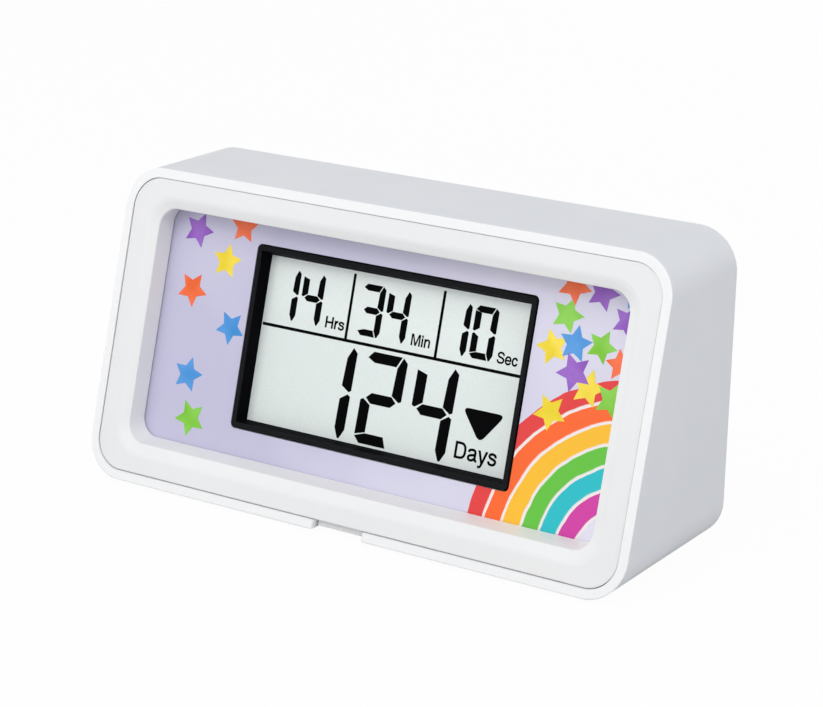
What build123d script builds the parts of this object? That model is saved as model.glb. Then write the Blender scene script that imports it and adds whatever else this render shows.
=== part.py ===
"""Desk countdown timer: a wedge-shaped white case that leans back, with a snap-in front frame, a picture
card, a segment display in a black surround, and a back cover with keys, a slide switch and a battery bay."""

import os
from math import cos, pi, radians, sin, tan

from build123d import *

os.makedirs("parts", exist_ok=True)

# The case: a rounded tube, cut square at the back and leaning back at the front
case_width = 130.0
case_height = 64.6
front_lean = 15.0  # degrees from the vertical
case_corner = 8.5
case_wall = 1.9
rim_edge = 0.2  # rounding of the rim's outer edge
overrun = 1.0  # how far a cut runs past what it cuts
skin_gap = 0.1  # pieces that lie on each other

# The front stack, as depths behind the front rim, square to the leaning face
frame_recess = 0.2
surround_front = 5.9
card_front = 6.3
card_thickness = 0.4
panel_thickness = 1.4
card_back = card_front + card_thickness
panel_front = card_back + skin_gap
panel_back = panel_front + panel_thickness

# Front frame
frame_gap = 0.15  # all round, to the case
window_side = 8.7  # from the case's side to the window
window_end = 8.05  # from the case's top and underside
window_corner = 4.2
bevel_width = 2.3  # shallow slope round the window
bevel_drop = 0.9
bevel_ridge = 3.0  # soft rounding where the slope leaves the face
bevel_edge = 0.35  # rounding where it meets the window's wall
frame_skin = 1.5
frame_band = 3.0  # solid band kept round the window
frame_hold_gap = 0.3  # shadow gap between the frame and the card
rib_length = 9.0  # small ribs that wedge the frame in the case
rib_height = 0.1
rib_depth = 1.0
rib_spacing = 84.0

# Pry notch in the lower rim, and the frame's lip that stands in it
notch_width = 11.4
notch_depth = 3.6
notch_round = 1.2  # the rim turns into the notch with this rounding
notch_corner = 0.5
lip_recess = 1.6
lip_thickness = 1.2
lip_rise = 0.4  # above the case's underside
lip_gap = 0.2
lip_edge = 0.25

# Picture card
card_margin = 1.2  # to the case wall
card_corner = 4.5
card_hole_gap = 0.25

# Display
display_lift = 1.8  # above the face's centre
surround_width = 67.4
surround_height = 38.6
surround_draft = 12.0  # degrees, the slope of its inner walls
surround_border = 1.1
surround_corner = 0.9
surround_edge = 0.3
surround_fit = 0.2
glass_depth = 9.1  # front of the glass
glass_side = 0.6  # wider than the surround, each side
glass_end = 1.2  # taller than the surround, each end
glass_sheet = 1.1
contact_ledge = 3.0
glass_fit = 0.2
skirt_wall = 1.8
skirt_depth = 11.8
reflector_thickness = 0.3
strip_width = 2.2
strip_length = 58.0

# Main board
board_thickness = 1.2
board_depth = 14.9
board_edge = 3.8  # past the screws, each side
board_end = 4.7  # past the surround, each end
board_corner = 1.5
board_boss_radius = 2.3
board_boss_gap = 0.6  # to the surround's skirt
chip_rise = 10.0  # above the display's centre
blob_radius = 7.0
blob_height = 1.7
crystal_radius = 1.05
crystal_length = 6.2

# Small self-tapping screws that hold the boards
small_shank = 0.9
small_head = 1.8
small_head_height = 1.0
small_length = 5.0
drive_width = 0.5
drive_share = 0.6  # the driver cross, as a share of the head's height and radius
screw_play = 0.05  # round a screw in the hole it bites into
board_play = 0.2  # round a screw in a board

# Back cover
cover_recess = 0.8
cover_thickness = 2.0
cover_gap = 0.2
cover_screw_inset = 9.5  # from the case's sides, underside and top
cover_boss_radius = 3.0
cover_shank = 1.3
cover_shank_hole = 1.5
cover_head = 2.5
cover_head_hole = 2.8
cover_screw_length = 9.0
cover_well_floor = 1.2
cover_inner = cover_recess + cover_thickness

# Battery bay for two small cells, one above the other
cell_radius = 5.25
cell_length = 44.5
cell_nub_radius = 1.9
cell_nub = 1.0
cell_edge = 0.6
cell_pitch = 11.5
bay_rise = 20.5  # centre of the bay above the underside
bay_side = 0.6  # room beside a cell
bay_wall = 1.5
bay_clearance = 2.35  # to the main board
spring_room = 5.0
contact_sheet = 0.4
contact_play = 0.05
divider_width = 0.6
divider_height = 3.0

# Battery door
door_thickness = 1.5
door_ledge = 1.6
door_gap = 0.2
door_corner = 1.2
door_bed = 0.2
tab_width = 6.0
tab_reach = 1.3
tab_thickness = 1.1
tab_spacing = 30.0
latch_width = 11.0
latch_reach = 3.6
latch_slot = 0.9
grip_ribs = 4
grip_pitch = 1.3
grip_rib = 0.5
grip_length = 12.0

# Keys, a switch under each, and the board behind them
key_names = ("days", "hours", "minutes", "seconds", "start")
key_first = -33.0
key_pitch = 13.0
key_drop = 15.6  # below the case's top
key_radius = 3.5
key_hole_gap = 0.25
key_proud = 0.5
key_edge = 0.5
key_dish = 0.25  # hollow in the key's top
key_flange = 4.6
key_flange_height = 0.8
key_stem = 1.6
plunger_radius = 1.6
plunger_gap = 0.15
plunger_depth = 5.0
plunger_length = 2.2
switch_side = 6.0
switch_front = 5.9
switch_height = 3.3
switch_well = 2.2
key_board_thickness = 1.2
key_board_length = 90.0
key_board_height = 13.0
key_board_shift = 1.0
key_boss_radius = 2.2
key_boss_places = (-40.5, 27.5)

# Slide switch for counting up or down
slider_place = 37.0
slider_travel = 4.0
slider_width = 4.2
slider_height = 3.2
slider_gap = 0.3
slider_flange = 1.2
slider_shield = 2.8
slider_flange_height = 0.8
slider_stem = 2.0
slider_ribs = 3
slider_rib = 0.4
slider_rib_pitch = 1.0
slider_body_length = 11.0
slider_body_height = 5.0
slider_body_front = 5.6
slider_well = 2.0

# Buzzer behind its sound slots
buzzer_inset = 22.0  # from the case's side
buzzer_rise = 24.0
buzzer_radius = 7.0
buzzer_height = 5.0
buzzer_wall = 0.9
buzzer_disc_thickness = 0.5
buzzer_mouth_radius = 1.4
buzzer_ring = 1.2
slot_count = 5
slot_pitch = 2.2
slot_length = 10.0
slot_width = 1.0

# Battery contacts
contact_width = 9.0
spring_wire = 0.3
spring_large = 3.8
spring_small = 2.2
spring_turns = 3.5
spring_steps = 28

# Rubber feet
foot_radius = 4.5
foot_height = 0.8
foot_seat = 0.5
foot_edge = 0.3
foot_inset_x = 14.0
foot_inset_y = 9.0

# Sizes that follow from those above
lean = radians(front_lean)
face_height = case_height / cos(lean)
window_width = case_width - 2 * window_side
window_height = case_height - 2 * window_end
glass_width = surround_width + 2 * glass_side
glass_height = surround_height + 2 * glass_end
skirt_width = glass_width + 2 * (glass_fit + skirt_wall)
skirt_height = glass_height + 2 * (glass_fit + skirt_wall)
board_screw_x = skirt_width + 2 * (board_boss_radius + board_boss_gap)
board_screw_y = skirt_height - 4 * board_boss_radius
board_width = board_screw_x + 2 * board_edge
board_height = surround_height + 2 * board_end
board_rear = board_depth + board_thickness
door_bottom = cover_recess + door_thickness + door_bed
cell_depth = door_bottom + 2 * door_bed + cell_radius
bay_floor = cell_depth + cell_radius + skin_gap
bay_length = cell_length + spring_room + 2 * contact_sheet + 2 * contact_play
bay_height = 2 * cell_radius + cell_pitch + 2 * bay_side
bay_top = bay_rise + bay_height / 2 + bay_wall
case_depth = bay_floor + bay_wall + bay_clearance + board_rear / cos(lean) + bay_top * tan(lean)
key_rise = case_height - key_drop

# Reference planes. Local x and y run along each face, and local z points out of it.
half_depth = case_depth / 2
front_plane = Plane((0, -half_depth, foot_height), x_dir=(1, 0, 0), z_dir=(0, -cos(lean), sin(lean)))
back_plane = Plane((0, half_depth, foot_height), x_dir=(-1, 0, 0), z_dir=(0, 1, 0))
outward = Axis(front_plane.origin, front_plane.z_dir)
case_centre = (0, case_height / 2)
display_centre = (0, face_height / 2 + display_lift)
key_places = [(key_first + key_pitch * n, key_rise) for n in range(len(key_names))]
cover_screw_places = [
    (side * (case_width / 2 - cover_screw_inset), rise)
    for side in (-1, 1)
    for rise in (cover_screw_inset, case_height - cover_screw_inset)
]


def front_at(depth):
    """The plane at this depth behind the leaning face."""
    return front_plane.offset(-depth)


def back_at(depth):
    """The plane at this depth behind the case's rear rim."""
    return back_plane.offset(-depth)


def finish(part, label):
    """Names the piece and writes it."""
    part.label = label
    export_step(part, f"parts/{label}.step")


# Hollows of the case, in front of the panel and behind it
with BuildPart() as front_hollow:
    with BuildSketch(back_plane):
        with Locations(case_centre):
            RectangleRounded(case_width - 2 * case_wall, case_height - 2 * case_wall, case_corner - case_wall)
    extrude(amount=-(case_depth + overrun))
    split(bisect_by=front_at(panel_front), keep=Keep.TOP)

with BuildPart() as rear_hollow:
    with BuildSketch(back_plane.offset(overrun)):
        with Locations(case_centre):
            RectangleRounded(case_width - 2 * case_wall, case_height - 2 * case_wall, case_corner - case_wall)
    extrude(amount=-(case_depth + overrun))
    split(bisect_by=front_at(panel_back), keep=Keep.BOTTOM)

# Bosses for the back cover's screws, from the cover to the panel
with BuildPart() as cover_bosses:
    with BuildSketch(back_at(cover_inner)):
        with Locations(*cover_screw_places):
            Circle(cover_boss_radius)
    extrude(amount=-case_depth)
    split(bisect_by=front_at(panel_back - panel_thickness / 2), keep=Keep.BOTTOM)

# Pry notch: a slot through the lower rim, its mouth flared at the front and at the underside
notch_height = (case_wall + frame_gap) / cos(lean) + notch_depth * tan(lean)
notch_plane = Plane(front_plane.from_local_coords((0, -overrun, 0)), x_dir=(1, 0, 0), z_dir=front_plane.y_dir)
with BuildPart() as notch_cut:
    with BuildSketch(notch_plane):
        with Locations((0, notch_depth / 2)):
            Rectangle(notch_width, notch_depth)
        with Locations((0, notch_round / 2)):
            Rectangle(notch_width + 2 * notch_round, notch_round)
        with Locations((0, notch_round)):
            with GridLocations(notch_width + 2 * notch_round, 0, 2, 1):
                Circle(notch_round, mode=Mode.SUBTRACT)
    extrude(amount=notch_height + overrun)
    with BuildSketch(back_plane):
        with Locations((0, notch_corner / 2)):
            Rectangle(notch_width + 2 * notch_corner, notch_corner)
        with Locations((0, notch_corner)):
            with GridLocations(notch_width + 2 * notch_corner, 0, 2, 1):
                Circle(notch_corner, mode=Mode.SUBTRACT)
    extrude(amount=-(case_depth + overrun))
    split(bisect_by=front_at(notch_depth), keep=Keep.TOP)

# Case shell: tube, card panel, screw bosses, pry notch and foot seats in one moulding
foot_places = [
    (x * (case_width / 2 - foot_inset_x), y * (half_depth - foot_inset_y)) for x in (-1, 1) for y in (-1, 1)
]
with BuildPart() as case_shell:
    with BuildSketch(back_plane):
        with Locations(case_centre):
            RectangleRounded(case_width, case_height, case_corner)
    extrude(amount=-case_depth)
    split(bisect_by=front_plane, keep=Keep.BOTTOM)
    front_rim = case_shell.faces().filter_by(front_plane).sort_by(outward)[-1]
    rear_rim = case_shell.faces().sort_by(Axis.Y)[-1]
    fillet(front_rim.outer_wire().edges() + rear_rim.outer_wire().edges(), radius=rim_edge)
    add(front_hollow.part, mode=Mode.SUBTRACT)
    add(rear_hollow.part, mode=Mode.SUBTRACT)
    # Window for the display surround
    with BuildSketch(front_at(panel_front - overrun)):
        with Locations(display_centre):
            Rectangle(surround_width + 2 * surround_fit, surround_height + 2 * surround_fit)
    extrude(amount=-(panel_thickness + 2 * overrun), mode=Mode.SUBTRACT)
    add(cover_bosses.part)
    with BuildSketch(back_at(cover_inner)):
        with Locations(*cover_screw_places):
            Circle(cover_shank + screw_play)
    extrude(amount=-cover_screw_length, mode=Mode.SUBTRACT)
    # Bosses for the main board, on the panel's back
    with BuildSketch(front_at(panel_back - panel_thickness / 2)):
        with Locations(display_centre):
            with GridLocations(board_screw_x, board_screw_y, 2, 2):
                Circle(board_boss_radius)
    extrude(amount=-(board_depth - panel_back + panel_thickness / 2))
    with BuildSketch(front_at(board_depth)):
        with Locations(display_centre):
            with GridLocations(board_screw_x, board_screw_y, 2, 2):
                Circle(small_shank + screw_play)
    extrude(amount=small_length, mode=Mode.SUBTRACT)
    add(notch_cut.part, mode=Mode.SUBTRACT)
    # Seats for the feet
    with BuildSketch(Plane.XY.offset(foot_height)):
        with Locations(*foot_places):
            Circle(foot_radius)
    extrude(amount=foot_seat, mode=Mode.SUBTRACT)
finish(case_shell.part, "case_shell")

# Rubber feet, four alike
with BuildPart() as feet:
    with BuildSketch():
        with Locations(*foot_places):
            Circle(foot_radius - skin_gap)
    extrude(amount=foot_height + foot_seat)
    fillet(feet.edges().group_by(Axis.Z)[0], radius=foot_edge)
finish(feet.part, "feet")

# Ribs on the frame's upper and lower edges, kept to a thin slice near its back
frame_width = case_width - 2 * (case_wall + frame_gap)
frame_height = case_height - 2 * (case_wall + frame_gap)
frame_back = card_front - frame_hold_gap
with BuildPart() as frame_ribs:
    with BuildSketch(back_plane):
        with Locations(case_centre):
            with GridLocations(rib_spacing, frame_height - frame_skin, 2, 2):
                Rectangle(rib_length, frame_skin + 2 * rib_height)
    extrude(amount=-(case_depth + overrun))
    split(bisect_by=front_at(frame_back - rib_depth), keep=Keep.BOTTOM)
    split(bisect_by=front_at(frame_back), keep=Keep.TOP)

# Hollow in the frame's back, between its outer skin and a solid band round the window
frame_corner = case_corner - case_wall - frame_gap
with BuildPart() as frame_hollow:
    with BuildSketch(back_plane):
        with Locations(case_centre):
            RectangleRounded(
                frame_width - 2 * frame_skin, frame_height - 2 * frame_skin, frame_corner - frame_skin
            )
            RectangleRounded(
                window_width + 2 * frame_band,
                window_height + 2 * frame_band,
                window_corner + frame_band,
                mode=Mode.SUBTRACT,
            )
    extrude(amount=-(case_depth + overrun))
    split(bisect_by=front_at(frame_recess + frame_skin), keep=Keep.BOTTOM)

# Lip that hangs from the frame into the pry notch
with BuildPart() as frame_lip:
    with BuildSketch(back_plane):
        with Locations((0, (lip_rise + case_wall + frame_skin) / 2)):
            Rectangle(notch_width - 2 * lip_gap, case_wall + frame_skin - lip_rise)
    extrude(amount=-(case_depth + overrun))
    split(bisect_by=front_at(lip_recess), keep=Keep.BOTTOM)
    split(bisect_by=front_at(lip_recess + lip_thickness), keep=Keep.TOP)
    fillet(frame_lip.faces().sort_by(Axis.Z)[0].edges(), radius=lip_edge)

# Front frame: flat band, shallow slope round the window, level window walls, hollow back, wedge ribs and lip
with BuildPart() as front_frame:
    with BuildSketch(back_plane):
        with Locations(case_centre):
            RectangleRounded(frame_width, frame_height, frame_corner)
    extrude(amount=-(case_depth + overrun))
    split(bisect_by=front_at(frame_recess), keep=Keep.BOTTOM)
    split(bisect_by=front_at(frame_back), keep=Keep.TOP)
    frame_face = front_frame.faces().filter_by(front_plane).sort_by(outward)[-1]
    fillet(frame_face.outer_wire().edges(), radius=rim_edge)
    with BuildSketch(back_plane):
        with Locations(case_centre):
            RectangleRounded(window_width, window_height, window_corner)
    extrude(amount=-(case_depth + overrun), mode=Mode.SUBTRACT)
    frame_face = front_frame.faces().filter_by(front_plane).sort_by(outward)[-1]
    chamfer(frame_face.inner_wires()[0].edges(), length=bevel_width, length2=bevel_drop, reference=frame_face)
    bevel_foot = -frame_recess - bevel_drop
    foot_edges = front_frame.edges().filter_by_position(outward, bevel_foot - skin_gap, bevel_foot + skin_gap)
    fillet(foot_edges, radius=bevel_edge)
    frame_face = front_frame.faces().filter_by(front_plane).sort_by(outward)[-1]
    fillet(frame_face.inner_wires()[0].edges(), radius=bevel_ridge)
    add(frame_hollow.part, mode=Mode.SUBTRACT)
    add(frame_ribs.part)
    add(frame_lip.part)
finish(front_frame.part, "front_frame")

# Picture card with its hole for the display surround
with BuildPart() as picture_card:
    with BuildSketch(front_at(card_front)):
        with Locations((0, face_height / 2 + card_front * tan(lean))):
            RectangleRounded(
                case_width - 2 * (case_wall + card_margin),
                face_height - 2 * (case_wall / cos(lean) + card_margin),
                card_corner,
            )
        with Locations(display_centre):
            RectangleRounded(
                surround_width + 2 * card_hole_gap,
                surround_height + 2 * card_hole_gap,
                surround_corner + card_hole_gap,
                mode=Mode.SUBTRACT,
            )
    extrude(amount=-card_thickness)
finish(picture_card.part, "picture_card")

# Display surround: a deep black frame through the panel, with a skirt behind it that holds the glass
with BuildPart() as display_surround:
    with BuildSketch(front_at(surround_front)):
        with Locations(display_centre):
            RectangleRounded(surround_width, surround_height, surround_corner)
    extrude(amount=-(glass_depth - surround_front))
    front_face = display_surround.faces().filter_by(front_plane).sort_by(outward)[-1]
    fillet(front_face.outer_wire().edges(), radius=surround_edge)
    with BuildSketch(front_at(panel_back + skin_gap)):
        with Locations(display_centre):
            RectangleRounded(skirt_width, skirt_height, surround_corner)
    extrude(amount=-(skirt_depth - panel_back - skin_gap))
    with BuildSketch(front_at(surround_front)):
        with Locations(display_centre):
            Rectangle(surround_width - 2 * surround_border, surround_height - 2 * surround_border)
    extrude(amount=-(glass_depth - surround_front), taper=surround_draft, mode=Mode.SUBTRACT)
    with BuildSketch(front_at(glass_depth)):
        with Locations(display_centre):
            Rectangle(glass_width + 2 * glass_fit, glass_height + 2 * glass_fit)
    extrude(amount=-(skirt_depth - glass_depth + overrun), mode=Mode.SUBTRACT)
finish(display_surround.part, "display_surround")

# Display glass: two sheets, the rear one shorter at the top to bare the contact ledge
with BuildPart() as display_glass:
    with BuildSketch(front_at(glass_depth)):
        with Locations(display_centre):
            Rectangle(glass_width, glass_height)
    extrude(amount=-glass_sheet)
    with BuildSketch(front_at(glass_depth + glass_sheet)):
        with Locations((0, display_centre[1] - contact_ledge / 2)):
            Rectangle(glass_width, glass_height - contact_ledge)
    extrude(amount=-glass_sheet)
finish(display_glass.part, "display_glass")

# Reflector sheet behind the glass
reflector_depth = glass_depth + 2 * glass_sheet
with BuildPart() as display_reflector:
    with BuildSketch(front_at(reflector_depth)):
        with Locations((0, display_centre[1] - contact_ledge / 2)):
            Rectangle(glass_width - 2 * glass_fit, glass_height - contact_ledge - 2 * glass_fit)
    extrude(amount=-reflector_thickness)
finish(display_reflector.part, "display_reflector")

# Rubber contact strip between the glass ledge and the board
strip_rise = display_centre[1] + glass_height / 2 - contact_ledge / 2
strip_depth = glass_depth + glass_sheet
with BuildPart() as contact_strip:
    with BuildSketch(front_at(strip_depth)):
        with Locations((0, strip_rise)):
            Rectangle(strip_length, strip_width)
    extrude(amount=-(board_depth - strip_depth))
finish(contact_strip.part, "contact_strip")

# Main board
with BuildPart() as main_board:
    with BuildSketch(front_at(board_depth)):
        with Locations(display_centre):
            RectangleRounded(board_width, board_height, board_corner)
            with GridLocations(board_screw_x, board_screw_y, 2, 2):
                Circle(small_shank + board_play, mode=Mode.SUBTRACT)
    extrude(amount=-board_thickness)
finish(main_board.part, "main_board")

# Moulded blob over the chip, and the crystal beside it
# A ball this large leaves a dome of the blob's height
blob_ball = (blob_radius**2 + blob_height**2) / (2 * blob_height)
blob_place = (0, display_centre[1] + chip_rise, 0)
with BuildPart() as chip_blob:
    with Locations(front_at(board_rear + blob_height - blob_ball).from_local_coords(blob_place)):
        Sphere(blob_ball)
    split(bisect_by=front_at(board_rear), keep=Keep.BOTTOM)
finish(chip_blob.part, "chip_blob")

crystal_end = front_at(board_rear + crystal_radius).from_local_coords(
    (2 * blob_radius, display_centre[1] + chip_rise, 0)
)
with BuildPart() as crystal:
    with BuildSketch(Plane(crystal_end, x_dir=front_plane.y_dir, z_dir=(1, 0, 0))):
        Circle(crystal_radius)
    extrude(amount=crystal_length)
finish(crystal.part, "crystal")


def screws(plane, places, shank, length, head, head_height):
    """Pan-head screws, driven in against the plane's normal, with a cross in each head."""
    with BuildPart() as made:
        with BuildSketch(plane):
            with Locations(*places):
                Circle(shank)
        extrude(amount=-length)
        with BuildSketch(plane):
            with Locations(*places):
                Circle(head)
        extrude(amount=head_height)
        with BuildSketch(plane.offset(head_height)):
            with Locations(*places):
                Rectangle(2 * head * drive_share, drive_width)
                Rectangle(drive_width, 2 * head * drive_share)
        extrude(amount=-head_height * drive_share, mode=Mode.SUBTRACT)
    return made.part


rear_of_board = Plane(
    front_at(board_rear).from_local_coords((*display_centre, 0)),
    x_dir=(-1, 0, 0),
    z_dir=-front_plane.z_dir,
)
board_screw_places = [(x * board_screw_x / 2, y * board_screw_y / 2) for x in (-1, 1) for y in (-1, 1)]
finish(
    screws(rear_of_board, board_screw_places, small_shank, small_length, small_head, small_head_height),
    "main_board_screws",
)

# Back cover: plate, screw wells, battery bay, key holes, sound slots and inner bosses
cover_width = case_width - 2 * (case_wall + cover_gap)
cover_height = case_height - 2 * (case_wall + cover_gap)
door_recess_length = bay_length + 2 * door_ledge
door_recess_height = bay_height + 2 * door_ledge
door_foot = bay_rise - door_recess_height / 2  # height of the recess's lower edge
door_head = bay_rise + door_recess_height / 2
bay_centre = (0, bay_rise)
key_board_depth = switch_front + switch_height
key_board_centre = (key_board_shift, key_rise)
slider_centre = (slider_place, key_rise)
buzzer_centre = (buzzer_inset - case_width / 2, buzzer_rise)
slider_slot = slider_width + slider_travel + 2 * slider_gap
with BuildPart() as back_cover:
    with BuildSketch(back_at(cover_recess)):
        with Locations(case_centre):
            RectangleRounded(cover_width, cover_height, case_corner - case_wall - cover_gap)
    extrude(amount=-cover_thickness)
    # Battery bay
    with BuildSketch(back_at(cover_inner)):
        with Locations(bay_centre):
            RectangleRounded(
                door_recess_length + 2 * bay_wall, door_recess_height + 2 * bay_wall, door_corner + bay_wall
            )
    extrude(amount=-(door_bottom + bay_wall + tab_thickness + bay_wall - cover_inner))
    with BuildSketch(back_at(cover_inner)):
        with Locations(bay_centre):
            RectangleRounded(bay_length + 2 * bay_wall, bay_height + 2 * bay_wall, bay_wall)
    extrude(amount=-(bay_floor + bay_wall - cover_inner))
    with BuildSketch(back_at(cover_recess - overrun)):
        with Locations(bay_centre):
            Rectangle(bay_length, bay_height)
    extrude(amount=-(bay_floor - cover_recess + overrun), mode=Mode.SUBTRACT)
    with BuildSketch(back_at(cover_recess - overrun)):
        with Locations(bay_centre):
            RectangleRounded(door_recess_length, door_recess_height, door_corner)
    extrude(amount=-(door_bottom - cover_recess + overrun), mode=Mode.SUBTRACT)
    # Slots behind the lower edge for the door's tabs
    with BuildSketch(back_at(door_bottom)):
        with Locations((0, door_foot)):
            with GridLocations(tab_spacing, 0, 2, 1):
                Rectangle(tab_width + 2 * door_gap, 2 * (tab_reach + door_gap))
        with Locations((0, door_foot + door_ledge / 2)):
            with GridLocations(tab_spacing, 0, 2, 1):
                Rectangle(tab_width + 2 * door_gap, door_ledge)
    extrude(amount=-(tab_thickness + bay_wall), mode=Mode.SUBTRACT)
    # Finger well above the latch
    with BuildSketch(back_at(cover_recess - overrun)):
        with Locations((0, door_head)):
            SlotOverall(latch_width + latch_reach, latch_reach)
    extrude(amount=-(door_bottom - cover_recess + overrun), mode=Mode.SUBTRACT)
    # Low rib between the cells
    with BuildSketch(back_at(bay_floor)):
        with Locations(bay_centre):
            Rectangle(bay_length - 2 * spring_room, divider_width)
    extrude(amount=divider_height)
    # Key holes, slider slot and sound slots
    with BuildSketch(back_at(cover_recess - overrun)):
        with Locations(*key_places):
            Circle(key_radius + key_hole_gap)
        with Locations(slider_centre):
            Rectangle(slider_slot, slider_height + 2 * slider_gap)
        with Locations(buzzer_centre):
            with GridLocations(0, slot_pitch, 1, slot_count):
                SlotOverall(slot_length, slot_width)
    extrude(amount=-(cover_thickness + 2 * overrun), mode=Mode.SUBTRACT)
    # Ring that holds the buzzer
    with BuildSketch(back_at(cover_inner)):
        with Locations(buzzer_centre):
            Circle(buzzer_radius + cover_gap + buzzer_ring)
            Circle(buzzer_radius + cover_gap, mode=Mode.SUBTRACT)
    extrude(amount=-buzzer_height / 2)
    # Bosses for the key board
    with BuildSketch(back_at(cover_inner)):
        with Locations(*[(place, key_rise) for place in key_boss_places]):
            Circle(key_boss_radius)
    extrude(amount=-(key_board_depth - cover_inner))
    with BuildSketch(back_at(key_board_depth)):
        with Locations(*[(place, key_rise) for place in key_boss_places]):
            Circle(small_shank + screw_play)
    extrude(amount=small_length, mode=Mode.SUBTRACT)
    # Screw wells
    with BuildSketch(back_at(cover_recess - overrun)):
        with Locations(*cover_screw_places):
            Circle(cover_shank_hole)
    extrude(amount=-(cover_thickness + 2 * overrun), mode=Mode.SUBTRACT)
    with BuildSketch(back_at(cover_recess - overrun)):
        with Locations(*cover_screw_places):
            Circle(cover_head_hole)
    extrude(amount=-(cover_thickness - cover_well_floor + overrun), mode=Mode.SUBTRACT)
finish(back_cover.part, "back_cover")

finish(
    screws(
        back_at(cover_inner - cover_well_floor),
        cover_screw_places,
        cover_shank,
        cover_screw_length,
        cover_head,
        cover_thickness - cover_well_floor,
    ),
    "back_cover_screws",
)

# Battery door, with tabs at its foot, a spring latch at its head and grip ribs
door_length = door_recess_length - 2 * door_gap
door_height = door_recess_height - 2 * door_gap
tab_root = cover_recess + door_thickness
with BuildPart() as battery_door:
    with BuildSketch(back_at(cover_recess)):
        with Locations(bay_centre):
            RectangleRounded(door_length, door_height, door_corner - door_gap)
    extrude(amount=-door_thickness)
    # Latch tongue at the head, freed by a slot each side
    with BuildSketch(back_at(cover_recess)):
        with Locations((0, door_head - door_gap + latch_reach / 4)):
            Rectangle(latch_width - 2 * latch_slot, latch_reach / 2)
    extrude(amount=-door_thickness)
    with BuildSketch(back_at(cover_recess - overrun)):
        with Locations((0, door_head - latch_reach)):
            with GridLocations(latch_width, 0, 2, 1):
                SlotOverall(2 * latch_reach, latch_slot, rotation=90)
    extrude(amount=-(door_thickness + 2 * overrun), mode=Mode.SUBTRACT)
    # Grip ribs
    with BuildSketch(back_at(cover_recess)):
        with Locations((0, door_head - 3 * latch_reach)):
            with GridLocations(0, grip_pitch, 1, grip_ribs):
                SlotOverall(grip_length, grip_rib)
    extrude(amount=grip_rib / 2)
    # Tabs that tuck behind the cover
    with BuildSketch(back_at(tab_root)):
        with Locations((0, door_foot + door_gap + tab_thickness / 2)):
            with GridLocations(tab_spacing, 0, 2, 1):
                Rectangle(tab_width, tab_thickness)
    extrude(amount=-(tab_thickness + door_bed + skin_gap))
    with BuildSketch(back_at(door_bottom + skin_gap)):
        with Locations((0, door_foot + door_gap + tab_thickness - (tab_reach + tab_thickness) / 2)):
            with GridLocations(tab_spacing, 0, 2, 1):
                Rectangle(tab_width, tab_reach + tab_thickness)
    extrude(amount=-tab_thickness)
finish(battery_door.part, "battery_door")


def cell_centre(row):
    """Centre of the upper (1) or lower (-1) cell on the back plane."""
    return (0, bay_rise + row * cell_pitch / 2)


# Two small cells, nubs at opposite ends. The nub touches the sheet at its end.
nub_end = bay_length / 2 - 2 * contact_play - contact_sheet
for row, name in ((1, "battery_upper"), (-1, "battery_lower")):
    tip = back_at(cell_depth).from_local_coords((row * nub_end, cell_centre(row)[1], 0))
    with BuildPart() as battery:
        with BuildSketch(Plane(tip, x_dir=(0, 0, 1), z_dir=(-row, 0, 0)).offset(-cell_nub)):
            Circle(cell_radius)
        extrude(amount=-(cell_length - cell_nub))
        fillet(battery.edges(), radius=cell_edge)
        with BuildSketch(Plane(tip, x_dir=(0, 0, 1), z_dir=(-row, 0, 0))):
            Circle(cell_nub_radius)
        extrude(amount=-2 * cell_nub)
    finish(battery.part, name)

# Contacts: flat sheets at the bay's ends, with a tapering spring for each cell's flat end
sheet_outer = bay_length / 2 - contact_play
sheet_inner = sheet_outer - contact_sheet
spring_length = bay_length / 2 + nub_end - cell_length - 2 * contact_play - contact_sheet
coil_points = []
for step in range(spring_steps + 1):
    share = step / spring_steps
    radius = spring_large - (spring_large - spring_small) * share
    turn = 2 * pi * spring_turns * share
    along = spring_wire / 2 + (spring_length - 2 * spring_wire) * share
    coil_points.append((radius * cos(turn), radius * sin(turn), along))


def contact(side, rows, sprung_rows):
    """A sheet at one end of the bay (side 1 or -1) across these rows, and springs on some of them."""
    heights = [cell_centre(row)[1] for row in rows]
    middle = sum(heights) / len(heights)
    span = max(heights) - min(heights) + contact_width
    with BuildPart() as made:
        foot = back_at(cell_depth).from_local_coords((side * sheet_outer, middle, 0))
        with BuildSketch(Plane(foot, x_dir=(0, 0, 1), z_dir=(side, 0, 0))):
            Rectangle(span, contact_width)
        extrude(amount=contact_sheet)
        for row in sprung_rows:
            start = back_at(cell_depth).from_local_coords((side * sheet_inner, cell_centre(row)[1], 0))
            coil_plane = Plane(start, x_dir=(0, 0, 1), z_dir=(side, 0, 0))
            with BuildLine(coil_plane) as coil:
                Spline(*coil_points)
            with BuildSketch(Plane(coil.line @ 0, z_dir=coil.line % 0)):
                Circle(spring_wire)
            sweep(path=coil.line)
    return made.part


finish(contact(-1, (1, -1), (1,)), "contact_bridge")
finish(contact(1, (1,), ()), "contact_positive")
finish(contact(1, (-1,), (-1,)), "contact_negative")

# Key board, screwed to the back cover
key_screw_places = [(place, key_rise) for place in key_boss_places]
with BuildPart() as key_board:
    with BuildSketch(back_at(key_board_depth)):
        with Locations(key_board_centre):
            RectangleRounded(key_board_length, key_board_height, board_corner)
        with Locations(*key_screw_places):
            Circle(small_shank + board_play, mode=Mode.SUBTRACT)
    extrude(amount=-key_board_thickness)
finish(key_board.part, "key_board")

key_board_rear = Plane(
    back_at(key_board_depth + key_board_thickness).origin, x_dir=(1, 0, 0), z_dir=(0, -1, 0)
)
finish(
    screws(
        key_board_rear,
        [(-place, key_rise) for place in key_boss_places],
        small_shank,
        small_length,
        small_head,
        small_head_height,
    ),
    "key_board_screws",
)

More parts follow.
